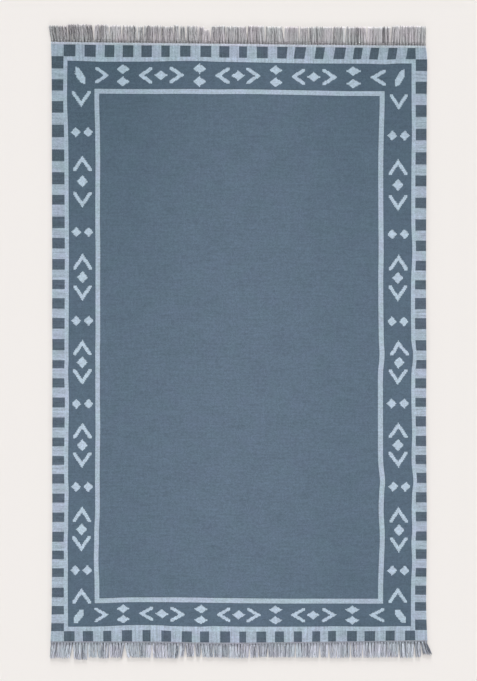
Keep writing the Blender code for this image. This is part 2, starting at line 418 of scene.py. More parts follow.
class Wire:
    """A number in a material's node tree. Arithmetic on it adds Math nodes."""

    def __init__(self, tree: bpy.types.NodeTree, socket: bpy.types.NodeSocket) -> None:
        """Hold the tree and the socket that gives the number."""
        self.tree = tree
        self.socket = socket

    def math(self, operation: str, *others: "Wire | float") -> "Wire":
        """Add one Math node.

        Args:
            operation: the node's operation.
            others: the further operands, wires or plain numbers.

        Returns:
            The node's result.
        """
        node = self.tree.nodes.new("ShaderNodeMath")
        node.operation = operation
        self.tree.links.new(self.socket, node.inputs[0])
        for place, other in enumerate(others, start=1):
            if isinstance(other, Wire):
                self.tree.links.new(other.socket, node.inputs[place])
            else:
                node.inputs[place].default_value = other
        return Wire(self.tree, node.outputs[0])

    def __add__(self, other: "Wire | float") -> "Wire":
        """Add a number."""
        return self.math("ADD", other)

    def __sub__(self, other: "Wire | float") -> "Wire":
        """Take a number away."""
        return self.math("SUBTRACT", other)

    def __mul__(self, other: "Wire | float") -> "Wire":
        """Multiply by a number."""
        return self.math("MULTIPLY", other)

    def __truediv__(self, other: "Wire | float") -> "Wire":
        """Divide by a number."""
        return self.math("DIVIDE", other)

    def flipped(self) -> "Wire":
        """Give one less this number, which turns a mask round."""
        return self.math("MULTIPLY", -1.0) + 1.0

    def size(self) -> "Wire":
        """Give the number without its sign."""
        return self.math("ABSOLUTE")

    def whole(self) -> "Wire":
        """Round down to a whole number."""
        return self.math("FLOOR")

    def from_nearest(self) -> "Wire":
        """Give the distance to the nearest whole number."""
        return (self - self.math("ROUND")).size()

    def below(self, limit: "Wire | float") -> "Wire":
        """Give 1 where the number is below a limit, and 0 elsewhere."""
        return self.math("LESS_THAN", limit)

    def above(self, limit: "Wire | float") -> "Wire":
        """Give 1 where the number is above a limit, and 0 elsewhere."""
        return self.math("GREATER_THAN", limit)

    def between(self, low: float, high: float) -> "Wire":
        """Give 1 where the number lies between two limits."""
        return self.above(low) * self.below(high)

    def lesser(self, other: "Wire | float") -> "Wire":
        """Give the lesser of two numbers."""
        return self.math("MINIMUM", other)

    def greater(self, other: "Wire | float") -> "Wire":
        """Give the greater of two numbers."""
        return self.math("MAXIMUM", other)

    def wave(self) -> "Wire":
        """Give the cosine of the number, counted in whole turns."""
        return (self * math.tau).math("COSINE")


class Bench:
    """A new material and the node tree in which a finish is made."""

    def __init__(self, name: str) -> None:
        """Start a material with its Principled shader.

        Args:
            name: the material's name.
        """
        self.material = bpy.data.materials.new(name)
        self.material.use_nodes = True
        self.tree = self.material.node_tree
        self.shader = self.tree.nodes["Principled BSDF"]

    def attribute(self, name: str) -> Wire:
        """Read a number that the mesh holds at its points."""
        node = self.tree.nodes.new("ShaderNodeAttribute")
        node.attribute_name = name
        return Wire(self.tree, node.outputs["Fac"])

    def point(self, *parts: Wire) -> bpy.types.NodeSocket:
        """Join two or three wires into a vector."""
        node = self.tree.nodes.new("ShaderNodeCombineXYZ")
        for place, part in enumerate(parts):
            self.tree.links.new(part.socket, node.inputs[place])
        return node.outputs[0]

    def noise(self, at: bpy.types.NodeSocket, scale: float, detail: float = 2.0) -> Wire:
        """Add soft noise around 0, mostly within 0.3 of it.

        Args:
            at: the vector that it reads.
            scale: its scale.
            detail: how many finer layers it has.

        Returns:
            The noise.
        """
        node = self.tree.nodes.new("ShaderNodeTexNoise")
        node.inputs["Scale"].default_value = scale
        node.inputs["Detail"].default_value = detail
        self.tree.links.new(at, node.inputs["Vector"])
        return Wire(self.tree, node.outputs["Fac"]) - 0.5

    def speckle(self, at: bpy.types.NodeSocket) -> Wire:
        """Add hard noise around 0, another value for each vector that it reads."""
        node = self.tree.nodes.new("ShaderNodeTexWhiteNoise")
        self.tree.links.new(at, node.inputs["Vector"])
        return Wire(self.tree, node.outputs["Value"]) - 0.5

    def colour(self, rgb: tuple[int, int, int]) -> tuple[float, float, float, float]:
        """Turn a colour read off a screen, 0 to 255, into the shader's linear one."""
        return (*(screen_to_linear(part) for part in rgb), 1.0)

    def mix(self, mask: Wire, first: object, second: object, blend: str = "MIX") -> bpy.types.NodeSocket:
        """Mix two colours by a mask.

        Args:
            mask: 0 for the first colour, 1 for the second.
            first: a colour or a socket.
            second: a colour or a socket.
            blend: how they are mixed.

        Returns:
            The mixed colour.
        """
        node = self.tree.nodes.new("ShaderNodeMix")
        node.data_type = "RGBA"
        node.blend_type = blend
        self.tree.links.new(mask.socket, node.inputs[0])
        for socket, value in ((node.inputs[6], first), (node.inputs[7], second)):
            if isinstance(value, bpy.types.NodeSocket):
                self.tree.links.new(value, socket)
            else:
                socket.default_value = value
        return node.outputs[2]

    def tint(self, colour: bpy.types.NodeSocket, by: bpy.types.NodeSocket) -> bpy.types.NodeSocket:
        """Multiply a colour by another."""
        node = self.tree.nodes.new("ShaderNodeVectorMath")
        node.operation = "MULTIPLY"
        self.tree.links.new(colour, node.inputs[0])
        self.tree.links.new(by, node.inputs[1])
        return node.outputs[0]

    def plain(self, rgb: tuple[int, int, int]) -> bpy.types.NodeSocket:
        """Give a screen colour as a socket."""
        node = self.tree.nodes.new("ShaderNodeRGB")
        node.outputs[0].default_value = self.colour(rgb)
        return node.outputs[0]

    def scale_colour(self, colour: bpy.types.NodeSocket, factor: Wire) -> bpy.types.NodeSocket:
        """Multiply a colour by a number."""
        node = self.tree.nodes.new("ShaderNodeVectorMath")
        node.operation = "SCALE"
        self.tree.links.new(colour, node.inputs[0])
        self.tree.links.new(factor.socket, node.inputs["Scale"])
        return node.outputs[0]

    def finish(
        self, colour: bpy.types.NodeSocket, roughness: Wire, height: Wire, depth: float, strength: float,
    ) -> bpy.types.Material:
        """Join colour, roughness and relief to the shader.

        Args:
            colour: the base colour.
            roughness: the roughness.
            height: the relief, about 0 to 1.
            depth: the relief's depth in millimetres.
            strength: how strongly the relief turns the light.

        Returns:
            The finished material.
        """
        bump = self.tree.nodes.new("ShaderNodeBump")
        bump.inputs["Strength"].default_value = strength
        bump.inputs["Distance"].default_value = depth * MM
        self.tree.links.new(height.socket, bump.inputs["Height"])
        self.tree.links.new(colour, self.shader.inputs["Base Color"])
        self.tree.links.new(roughness.socket, self.shader.inputs["Roughness"])
        self.tree.links.new(bump.outputs["Normal"], self.shader.inputs["Normal"])
        return self.material


def screen_to_linear(part: float) -> float:
    """Turn one part of a screen colour, 0 to 255, into linear light."""
    share = part / 255.0
    return share / 12.92 if share <= 0.04045 else ((share + 0.055) / 1.055) ** 2.4


@dataclass(frozen=True)
class MotifChart:
    """The small repeat of a motif band: widths in shares of the band's, lengths in millimetres.

    A pair of diamonds lies at each whole count, one diamond half way between, and a chevron on either
    side of the pair with its apex pointing to it.
    """

    pair_from_middle: float
    pair_half_width: float
    pair_half_length: float
    single_half_width: float
    single_half_length: float
    chevron_count: float
    chevron_half_length: float
    arm_half_width: float
    arm_slope: float
    stroke: float
    first_count: float
    last_count: float
    hollow: float

    def diamond(self, across: Wire, along: Wire) -> Wire:
        """Give 1 inside a diamond whose corners lie at 1 on both ways."""
        return (across.math("POWER", self.hollow) + along.math("POWER", self.hollow)).below(1.0)

    def draw(self, across: Wire, count: Wire, pitch: "Wire | float") -> Wire:
        """Draw the band.

        Args:
            across: the place across the band, from its middle.
            count: the place along the band, in repeats.
            pitch: the length of one repeat.

        Returns:
            1 on the motifs and 0 on the ground.
        """
        off_middle = across.size()
        off_count = count.from_nearest()
        pair = self.diamond((off_middle - self.pair_from_middle).size() / self.pair_half_width,
                            off_count * pitch / self.pair_half_length)
        single = self.diamond(off_middle / self.single_half_width,
                              (off_count - 0.5).size() * pitch / self.single_half_length)
        from_apex = (off_count - self.chevron_count) * pitch + self.chevron_half_length
        outer_line = from_apex * self.arm_slope
        chevron = off_middle.below(outer_line.lesser(self.arm_half_width)) * off_middle.above(outer_line - self.stroke)
        chevron = chevron * from_apex.below(2.0 * self.chevron_half_length)
        drawn = pair.greater(single).greater(chevron)
        return drawn * count.between(self.first_count, self.last_count)


SIDE_CHART = MotifChart(
    pair_from_middle=0.223, pair_half_width=0.174, pair_half_length=20.5,
    single_half_width=0.197, single_half_length=24.0,
    chevron_count=0.322, chevron_half_length=31.5, arm_half_width=0.338, arm_slope=0.0061, stroke=0.146,
    first_count=-0.42, last_count=5.42, hollow=1.0,
)

END_CHART = MotifChart(
    pair_from_middle=0.226, pair_half_width=0.184, pair_half_length=29.8,
    single_half_width=0.196, single_half_length=28.5,
    chevron_count=0.2935, chevron_half_length=29.8, arm_half_width=0.297, arm_slope=0.0060, stroke=0.150,
    first_count=-0.40, last_count=3.40, hollow=0.88,
)


@dataclass(frozen=True)
class CornerLeaf:
    """The slanting leaf in each corner, which leans to the field, in millimetres."""

    outward: float
    inward: float
    half_width: float
    steep: float
    half_steep: float
    gentle: float
    half_gentle: float

    def draw(self, side_in: Wire, end_in: Wire) -> Wire:
        """Draw the leaf.

        Args:
            side_in: the place across the side band, from its middle inwards.
            end_in: the place across the end band, from its middle inwards.

        Returns:
            1 on the leaf.
        """
        across = side_in + self.outward
        along = end_in - self.inward
        slanted = (along - across * self.steep).size().below(self.half_steep)
        ended = (along - across * self.gentle).size().below(self.half_gentle)
        return across.size().below(self.half_width) * slanted * ended


FAR_LEAF = CornerLeaf(
    outward=5.5, inward=2.2, half_width=20.0, steep=1.57, half_steep=24.6, gentle=0.46, half_gentle=26.6,
)

NEAR_LEAF = CornerLeaf(
    outward=12.6, inward=-6.3, half_width=21.9, steep=1.28, half_steep=21.0, gentle=0.0, half_gentle=27.8,
)


@dataclass(frozen=True)
class WovenFinish:
    """The weft-faced cotton ground with its border in two colours of yarn."""

    field: tuple[int, int, int] = (97, 115, 132)
    band: tuple[int, int, int] = (92, 110, 127)
    block: tuple[int, int, int] = (90, 104, 118)
    pale_guard: tuple[int, int, int] = (177, 193, 208)
    pale_block: tuple[int, int, int] = (171, 185, 200)
    motif: tuple[int, int, int] = (188, 205, 220)
    far_picks: tuple[int, int, int] = (181, 187, 198)
    near_picks: tuple[int, int, int] = (163, 166, 177)
    greenish: tuple[float, float, float] = (0.970, 1.004, 0.975)
    lilac: tuple[float, float, float] = (1.040, 0.988, 1.040)
    ribs: int = 346
    picks: int = 676
    rib_pitch: float = 4.4046
    pick_pitch: float = 3.5976
    side_band: float = 112.0
    far_band: float = 111.3
    near_band: float = 95.0
    side_repeat: float = 345.0
    edge_wander: float = 2.5
    # How much more strongly the painted falloff of light darkens red.
    red_painted_falloff: float = 1.3
    end_repeat: float = 312.0

    def stripes(self, count: Wire, last: float) -> Wire:
        """Give 1 on the dark blocks, which fill half of each count about its whole number."""
        return count.from_nearest().below(0.25) * count.between(-0.5, last + 0.5)

    def make(self) -> bpy.types.Material:
        """Make the material.

        Returns:
            A material that reads the numbers which WovenCloth stores at its mesh's points.
        """
        bench = Bench("woven_cotton")
        side_level = bench.attribute("side_level")
        end_level = bench.attribute("end_level")
        rib = bench.attribute("rib")
        pick = bench.attribute("pick")
        weave = bench.point(rib, pick)

        # Each motif's edge runs in steps of one warp and one pick, and wanders a little.
        wander = bench.noise(weave, 0.13) * self.edge_wander
        rib_step = (rib.whole() + 0.5 - rib) * self.rib_pitch + wander
        pick_step = (pick.whole() + 0.5 - pick) * self.pick_pitch + wander
        right = rib.above(self.ribs / 2)
        far = pick.above(self.picks / 2)
        end_band = far * (self.far_band - self.near_band) + self.near_band
        side_mm = bench.attribute("side_across") * self.side_band + rib_step * (right * -2.0 + 1.0)
        end_mm = bench.attribute("end_across") * end_band + pick_step * (far * -2.0 + 1.0)
        side_count = bench.attribute("side_motif") - pick_step / self.side_repeat
        end_count = bench.attribute("end_motif") + rib_step / self.end_repeat

        level = side_level.lesser(end_level)
        in_band = level.between(3.0, 4.0)
        corner = side_level.below(4.0) * end_level.below(4.0)
        motifs = SIDE_CHART.draw(side_mm / self.side_band, side_count, bench.attribute("side_pitch"))
        motifs = motifs * side_level.below(4.0)
        end_motifs = END_CHART.draw(end_mm / end_band, end_count, self.end_repeat)
        motifs = motifs.greater(end_motifs * end_level.below(4.0))
        leaves = FAR_LEAF.draw(side_mm, end_mm) * far + NEAR_LEAF.draw(side_mm, end_mm) * far.flipped()
        motifs = motifs.greater(leaves * corner) * in_band

        side_blocks = self.stripes(bench.attribute("side_block"), 28.0) * side_level.below(2.0) * end_level.above(2.0)
        end_blocks = self.stripes(bench.attribute("end_block"), 18.0) * end_level.between(1.0, 2.0)
        end_blocks = end_blocks * side_level.above(2.0)
        guards = level.between(2.0, 3.0).greater(level.between(4.0, 5.0))
        dark_blocks = side_blocks.greater(end_blocks)

        colour = bench.mix(level.below(4.5), bench.colour(self.field), bench.colour(self.band))
        colour = bench.mix(guards, colour, bench.colour(self.pale_guard))
        colour = bench.mix(level.below(2.0), colour, bench.colour(self.pale_block))
        colour = bench.mix(dark_blocks, colour, bench.colour(self.block))
        colour = bench.mix(motifs, colour, bench.colour(self.motif))
        last_picks = bench.mix(far, bench.colour(self.near_picks), bench.colour(self.far_picks))
        colour = bench.mix(end_level.below(1.0), colour, last_picks)

        # The yarn's own unevenness: streaks along picks and ribs, heather from bead to bead, slow clouds; and painted
        # shade in the grooves between ribs and painted shadow lines along the border's edges.
        at_side = side_level.below(2.0) * end_level.above(2.0)
        at_end = end_level.below(3.0)
        streak = bench.noise(bench.point(rib * 0.05, pick * 0.5), 1.0, 2.0) * (at_side * 0.55 + 0.34)
        rib_streak = bench.noise(bench.point(rib * 0.6, pick * 0.03), 1.0, 2.0) * (at_end * 0.65 + 0.14)
        bead = bench.speckle(bench.point(rib.whole(), (pick + rib.whole() * 0.5).whole()))
        cloud = bench.noise(weave, 0.035, 2.0)
        mottle = bench.noise(weave, 0.30, 2.0)
        # Painted shade in the grooves between ribs, and painted light on their tops.
        painted_groove_shade = rib.wave()
        # Painted shadow lines along the guards' edges and the end blocks' outer row.
        painted_edge_shadow = level.between(3.0, 3.035) + level.between(3.965, 4.0) + level.between(5.0, 5.035)
        painted_edge_shadow = painted_edge_shadow + end_blocks * end_level.below(1.1)
        shade = streak + rib_streak + bead * 0.26 + cloud * 0.14 + mottle * 0.24 - painted_groove_shade * 0.06 - painted_edge_shadow * 0.10 + 1.0
        pale = guards.greater(level.below(2.0) * dark_blocks.flipped()).greater(motifs)
        # Painted falloff of light, weaker on the pale yarns and stronger in red.
        tone = bench.attribute("tone").math("POWER", pale * -0.45 + 1.0)
        painted_falloff = bench.point(tone.math("POWER", self.red_painted_falloff), tone, tone)
        colour = bench.tint(bench.scale_colour(colour, shade), painted_falloff)
        heather = bench.noise(weave, 0.05, 1.0) * (level.below(2.0).greater(guards) * 1.8 + 1.2) + 0.5
        colour = bench.tint(colour, bench.mix(heather, (*self.greenish, 1.0), (*self.lilac, 1.0)))

        rise = ((pick + rib.whole() * 0.5).wave() + 1.0) * 0.5
        height = rise * 0.7 + bead * 0.2 + mottle * 0.5
        roughness = mottle * 0.2 + 0.9
        shader = bench.shader
        shader.inputs["Sheen Weight"].default_value = 0.06
        shader.inputs["Sheen Roughness"].default_value = 0.6
        shader.inputs["Specular IOR Level"].default_value = 0.15
        return bench.finish(colour, roughness, height, 0.6, 0.5)


@dataclass(frozen=True)
class YarnFinish:
    """Plied grey cotton yarn of the knots and the fringe."""

    name: str
    dark: tuple[int, int, int]
    light: tuple[int, int, int]
    ply_pitch: float = 9.0
    cool: tuple[float, float, float] = (0.965, 1.006, 1.000)
    lilac: tuple[float, float, float] = (1.030, 0.990, 1.022)

    def make(self) -> bpy.types.Material:
        """Make the material.

        Returns:
            A material that reads the numbers which YarnBundle stores at its mesh's points.
        """
        bench = Bench(self.name)
        shade = bench.attribute("shade")
        run = bench.attribute("run")
        turn_x = bench.attribute("turn_x")
        turn_y = bench.attribute("turn_y")
        twice_x = turn_x * turn_x - turn_y * turn_y
        twice_y = turn_x * turn_y * 2.0
        angle = run * (2.0 * math.tau / self.ply_pitch)
        ply = twice_x * angle.math("COSINE") + twice_y * angle.math("SINE")
        place = bench.point(run, shade * 97.0)
        fibre = bench.noise(place, 0.5, 3.0)
        colour = bench.mix(shade, bench.colour(self.dark), bench.colour(self.light))
        where = bench.tree.nodes.new("ShaderNodeTexCoord")
        hue = bench.noise(where.outputs["Object"], 11.0, 1.0) * 3.5 + 0.5
        colour = bench.tint(colour, bench.mix(hue, (*self.cool, 1.0), (*self.lilac, 1.0)))
        # Painted shade in the ply grooves, with the fibres' own unevenness; the painted shade stored at the points
        # darkens it further.
        value = ply * 0.10 + fibre * 0.35 + 1.0
        colour = bench.scale_colour(colour, value * bench.attribute("tone"))
        shader = bench.shader
        shader.inputs["Sheen Weight"].default_value = 0.06
        shader.inputs["Sheen Roughness"].default_value = 0.6
        shader.inputs["Specular IOR Level"].default_value = 0.15
        return bench.finish(colour, fibre * 0.2 + 0.9, ply * 0.5 + fibre * 0.4 + 0.5, 0.5, 0.5)


@dataclass(frozen=True)
class FloorFinish:
    """The plain pale floor of the studio."""

    pale: tuple[int, int, int] = (242, 238, 235)

    def make(self) -> bpy.types.Material:
        """Make the material, with hardly visible clouds in it."""
        bench = Bench("studio_floor")
        node = bench.tree.nodes.new("ShaderNodeTexCoord")
        cloud = bench.noise(node.outputs["Object"], 3.0, 1.0)
        colour = bench.scale_colour(bench.plain(self.pale), cloud * 0.004 + 1.0)
        bench.shader.inputs["Specular IOR Level"].default_value = 0.0
        return bench.finish(colour, cloud * 0.1 + 0.95, cloud, 0.01, 0.1)


def new_piece(name: str, points: np.ndarray, faces: list, numbers: dict[str, np.ndarray]) -> bpy.types.Object:
    """Make a mesh object from points in millimetres, smooth shaded, with numbers at its points.

    Args:
        name: the piece's name.
        points: its points, one row each.
        faces: its faces, as lists of point indices.
        numbers: arrays of one number for each point, by name.

    Returns:
        The new object, linked to the scene.
    """
    mesh = bpy.data.meshes.new(name)
    mesh.from_pydata((points * MM).tolist(), [], faces)
    for label, values in numbers.items():
        layer = mesh.attributes.new(label, "FLOAT", "POINT")
        layer.data.foreach_set("value", np.asarray(values, dtype=np.float32))
    mesh.shade_smooth()
    piece = bpy.data.objects.new(name, mesh)
    bpy.context.scene.collection.objects.link(piece)
    return piece


def painted_falloff_at(x: np.ndarray, y: np.ndarray) -> np.ndarray:
    """Work out the painted falloff of light over the rug: darker away from a bright spot a little towards the near
    end, most to the far left, 1 at its lightest.

    Args:
        x: the places across, in millimetres.
        y: the places along, in millimetres.

    Returns:
        A factor for linear colours.
    """
    across = x / 447.0
    along = (y + 353.0) / 1300.0
    across = np.clip(across, -1.0, 1.0)
    drop = 0.034 * across ** 2 + 0.051 * along ** 2 + 0.030 * (across * along) ** 2 - 0.013 * across * along
    return np.clip(1.0 - drop, 0.7, 1.0) ** 2.2


@dataclass
class WovenCloth:
    """The flat woven cloth: ribs over the warps, a rounded selvedge, and the border's chart."""

    plan: ClothPlan
    finish: WovenFinish
    thickness: float = 4.2
    rib_relief: float = 0.28
    rim: float = 1.3
    points_per_rib: int = 2
    row_spacing: float = 26.0
    coarse_columns: int = 28
    coarse_rows: int = 9
    ripple: float = 1.1
    pitch_reach: float = 110.0
    band_middles: tuple[float, float] = (124.7, 117.0)

    def stations(self) -> tuple[np.ndarray, np.ndarray]:
        """List the nominal places of the top's columns and rows, with rows on lines and block edges."""
        half_width = self.plan.half_width - self.rim
        half_length = self.plan.half_length - self.rim
        columns = np.linspace(-half_width, half_width, self.finish.ribs * self.points_per_rib + 1)
        near = -self.plan.half_length + column(END_LEVELS, "second")[1:6]
        far = self.plan.half_length - column(END_LEVELS, "first")[1:6]
        starts = (column(SIDE_BLOCKS, "first_start") + column(SIDE_BLOCKS, "second_start")) / 2
        stops = (column(SIDE_BLOCKS, "first_stop") + column(SIDE_BLOCKS, "second_stop")) / 2
        fixed = np.unique(np.concatenate(([-half_length], near, starts, stops, far, [half_length])))
        rows = [fixed[0]]
        for start, stop in zip(fixed, fixed[1:]):
            steps = max(1, math.ceil((stop - start) / self.row_spacing))
            rows.extend(start + (stop - start) * step / steps for step in range(1, steps + 1))
        return columns, np.array(rows)

    def lift(self, across: np.ndarray, along: np.ndarray) -> np.ndarray:
        """Work out how far the cloth stands off the floor, which it does a little along its selvedges."""
        near_edge = np.clip((np.abs(across) - 560.0) / 200.0, 0.0, 1.0) ** 2
        slow = 0.5 + 0.5 * np.sin(along / 97.0 + 1.3 * np.sin(along / 243.0) + np.sign(across))
        middle = 0.5 + 0.5 * np.sin(along / 151.0 + across / 233.0) * np.sin(across / 187.0 + 0.7)
        return self.ripple * near_edge * slow + 0.25 * middle

    def numbers(self, across: np.ndarray, along: np.ndarray) -> dict[str, np.ndarray]:
        """Work out what the woven finish reads at each point.

        Args:
            across: the points' nominal places across.
            along: the points' nominal places along.

        Returns:
            Arrays by name: the border's levels, places and counts, the ribs, the picks and the painted falloff of
                light.
        """
        plan, finish = self.plan, self.finish
        right = across > 0
        far = along > 0
        in_from_side = plan.half_width - np.abs(across)
        in_from_end = plan.half_length - np.abs(along)
        side_level = self.pick_side(right, *self.levels(SIDE_LEVELS, in_from_side))
        end_level = self.pick_side(far, *self.levels(END_LEVELS, in_from_end)[::-1])
        band_middle = np.where(right, self.band_middles[1], self.band_middles[0])
        lean = np.clip((across - 150.0) / 60.0, 0.0, 1.0) * (along - (plan.half_length - 33.0)) * 0.17 * far
        end_places = across - lean
        nearer = self.pick_side(right, *self.counts(count_motifs, SIDE_MOTIFS, along - self.pitch_reach))
        farther = self.pick_side(right, *self.counts(count_motifs, SIDE_MOTIFS, along + self.pitch_reach))
        place_x, place_y = plan.place(across, along)
        return {
            "side_level": side_level,
            "end_level": end_level,
            "side_across": (in_from_side - band_middle) / finish.side_band,
            "end_across": end_level - 3.5,
            "side_block": self.pick_side(right, *self.counts(count_blocks, SIDE_BLOCKS, along)),
            "end_block": self.pick_side(far, *self.counts(count_blocks, END_BLOCKS, end_places)[::-1]),
            "side_motif": self.pick_side(right, *self.counts(count_motifs, SIDE_MOTIFS, along)),
            "side_pitch": 2.0 * self.pitch_reach / (nearer - farther),
            "end_motif": self.pick_side(far, *self.counts(count_motifs, END_MOTIFS, across)[::-1]),
            "rib": (across + plan.half_width) / finish.rib_pitch,
            "pick": (along + plan.half_length) / finish.pick_pitch,
            # Painted falloff of light over the cloth.
            "tone": painted_falloff_at(place_x, place_y),
        }

    @staticmethod
    def pick_side(second: np.ndarray, values_first: np.ndarray, values_second: np.ndarray) -> np.ndarray:
        """Take the second values where the mask is set, and the first ones elsewhere."""
        return np.where(second, values_second, values_first)

    @staticmethod
    def levels(rows: tuple, depth: np.ndarray) -> tuple[np.ndarray, np.ndarray]:
        """Turn depths from the edge into border levels, by the table's first and second column."""
        level = column(rows, "level")
        return tuple(np.interp(depth, column(rows, name), level) for name in ("first", "second"))

    @staticmethod
    def counts(count: Callable, rows: tuple, places: np.ndarray) -> tuple[np.ndarray, np.ndarray]:
        """Count places by the table's first and second side."""
        return count(rows, "first", places), count(rows, "second", places)

    def build(self) -> bpy.types.Object:
        """Build the cloth as one closed mesh and dress it.

        Returns:
            The piece.
        """
        columns, rows = self.stations()
        count_columns, count_rows = len(columns), len(rows)
        across, along = (grid.ravel() for grid in np.meshgrid(columns, rows))
        relief = self.rib_relief * (0.5 - 0.5 * np.cos(math.tau * (across + self.plan.half_width) / self.finish.rib_pitch))
        heights = self.thickness - self.rib_relief + relief

        def top(row: int, col: int) -> int:
            """Number a point of the top."""
            return row * count_columns + col

        faces = [
            [top(row, col), top(row, col + 1), top(row + 1, col + 1), top(row + 1, col)]
            for row in range(count_rows - 1)
            for col in range(count_columns - 1)
        ]
        border = [(0, col) for col in range(count_columns - 1)]
        border += [(row, count_columns - 1) for row in range(count_rows - 1)]
        border += [(count_rows - 1, col) for col in range(count_columns - 1, 0, -1)]
        border += [(row, 0) for row in range(count_rows - 1, 0, -1)]

        # The rim turns from the top to the underside over two rings that stand out by the rim's width.
        border_across = np.array([columns[col] for _, col in border])
        border_along = np.array([rows[row] for row, _ in border])
        out_across = np.where(np.abs(border_across) > self.plan.half_width - self.rim - 0.01,
                              np.sign(border_across) * self.rim, 0.0)
        out_along = np.where(np.abs(border_along) > self.plan.half_length - self.rim - 0.01,
                             np.sign(border_along) * self.rim, 0.0)
        rings = [[top(row, col) for row, col in border]]
        total = count_rows * count_columns
        for share_out, height in ((1.0, 0.72), (1.0, 0.28), (0.0, 0.0)):
            across = np.concatenate((across, border_across + out_across * share_out))
            along = np.concatenate((along, border_along + out_along * share_out))
            heights = np.concatenate((heights, np.full(len(border), self.thickness * height)))
            rings.append(list(range(total, total + len(border))))
            total += len(border)
        for upper, lower in zip(rings, rings[1:]):
            for index in range(len(border)):
                following = (index + 1) % len(border)
                faces.append([upper[following], upper[index], lower[index], lower[following]])

        under = {place: rings[-1][index] for index, place in enumerate(border)}
        coarse_c = list(range(0, count_columns, self.coarse_columns))
        coarse_r = sorted(set(list(range(0, count_rows, self.coarse_rows)) + [count_rows - 1]))
        if coarse_c[-1] != count_columns - 1:
            coarse_c.append(count_columns - 1)
        inner = [(r, c) for r in coarse_r for c in coarse_c if (r, c) not in under]
        for row, col in inner:
            under[(row, col)] = total
            total += 1
        across = np.concatenate((across, [columns[c] for _, c in inner]))
        along = np.concatenate((along, [rows[r] for r, _ in inner]))
        heights = np.concatenate((heights, np.zeros(len(inner))))
        last = (count_rows - 1, count_columns - 1)
        for r0, r1 in zip(coarse_r, coarse_r[1:]):
            for c0, c1 in zip(coarse_c, coarse_c[1:]):
                faces.append([under[place] for place in self.cell_outline(r0, r1, c0, c1, last)])

        x, y = self.plan.place(across, along)
        z = heights + self.lift(across, along)
        numbers = self.numbers(across, along)
        piece = new_piece("woven_cloth", np.stack((x, y, z), axis=1), faces, numbers)
        piece.data.materials.append(self.finish.make())
        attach(piece, "root")
        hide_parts("rug_cloth")
        return piece

    @staticmethod
    def cell_outline(r0: int, r1: int, c0: int, c1: int, last: tuple[int, int]) -> list[tuple[int, int]]:
        """List the points round one cell of the underside, seen from below, with all that the rim has.

        Args:
            r0: the cell's first row.
            r1: the cell's last row.
            c0: the cell's first column.
            c1: the cell's last column.
            last: the sheet's last row and column.

        Returns:
            The points as rows and columns, clockwise seen from above.
        """
        left = [(r, c0) for r in (range(r0, r1) if c0 == 0 else (r0,))]
        far = [(r1, c) for c in (range(c0, c1) if r1 == last[0] else (c0,))]
        right = [(r, c1) for r in (range(r1, r0, -1) if c1 == last[1] else (r1,))]
        near = [(r0, c) for c in (range(c1, c0, -1) if r0 == 0 else (c1,))]
        return left + far + right + near


@dataclass
class YarnBundle:
    """Many yarns of one make, swept along their paths into one mesh."""

    name: str
    sides: int = 6
    points: list = field(default_factory=list)
    faces: list = field(default_factory=list)
    numbers: dict = field(default_factory=lambda: {"shade": [], "run": [], "turn_x": [], "turn_y": [], "tone": []})
    total: int = 0

    def lay(
        self, path: np.ndarray, radius: np.ndarray, shade: float,
        reference: tuple[float, float, float] = (0.0, 0.0, 1.0), flatness: float = 1.0,
        dim: "np.ndarray | float" = 1.0,
    ) -> None:
        """Lay one yarn.

        Args:
            path: its middle line, a row for each ring, in millimetres.
            radius: its radius at each ring.
            shade: how light its colour is, 0 to 1.
            reference: a direction that the path never takes, which holds the rings upright.
            flatness: its thickness over its width.
            dim: a factor on its colour for painted shade, for each ring or for all.
        """
        tangent = np.gradient(path, axis=0)
        tangent /= np.linalg.norm(tangent, axis=1, keepdims=True)
        across = np.cross(np.array(reference), tangent)
        across /= np.linalg.norm(across, axis=1, keepdims=True)
        upright = np.cross(tangent, across)
        angles = np.arange(self.sides) * math.tau / self.sides
        around = np.cos(angles)[None, :, None] * across[:, None, :]
        around = around + flatness * np.sin(angles)[None, :, None] * upright[:, None, :]
        rings = path[:, None, :] + radius[:, None, None] * around
        steps = len(path)
        index = self.total + np.arange(steps * self.sides).reshape(steps, self.sides)
        following = np.roll(index, -1, axis=1)
        quads = np.stack((index[:-1], following[:-1], following[1:], index[1:]), axis=2)
        self.faces.extend(quads.reshape(-1, 4).tolist())
        self.faces.append(index[0, ::-1].tolist())
        self.faces.append(index[-1].tolist())
        run = np.concatenate(([0.0], np.cumsum(np.linalg.norm(np.diff(path, axis=0), axis=1))))
        self.points.append(rings.reshape(-1, 3))
        self.numbers["shade"].append(np.full(steps * self.sides, shade))
        self.numbers["run"].append(np.repeat(run + 13.0 * shade, self.sides))
        self.numbers["turn_x"].append(np.tile(np.cos(angles), steps))
        self.numbers["turn_y"].append(np.tile(np.sin(angles), steps))
        self.numbers["tone"].append(np.repeat(np.ones(steps) * dim, self.sides))
        self.total += steps * self.sides

    def finish(self, material: bpy.types.Material) -> bpy.types.Object:
        """Join the yarns into one piece and dress it.

        Args:
            material: the yarn's material.

        Returns:
            The piece.
        """
        numbers = {label: np.concatenate(parts) for label, parts in self.numbers.items()}
        piece = new_piece(self.name, np.concatenate(self.points), self.faces, numbers)
        piece.data.materials.append(material)
        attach(piece, "root")
        return piece


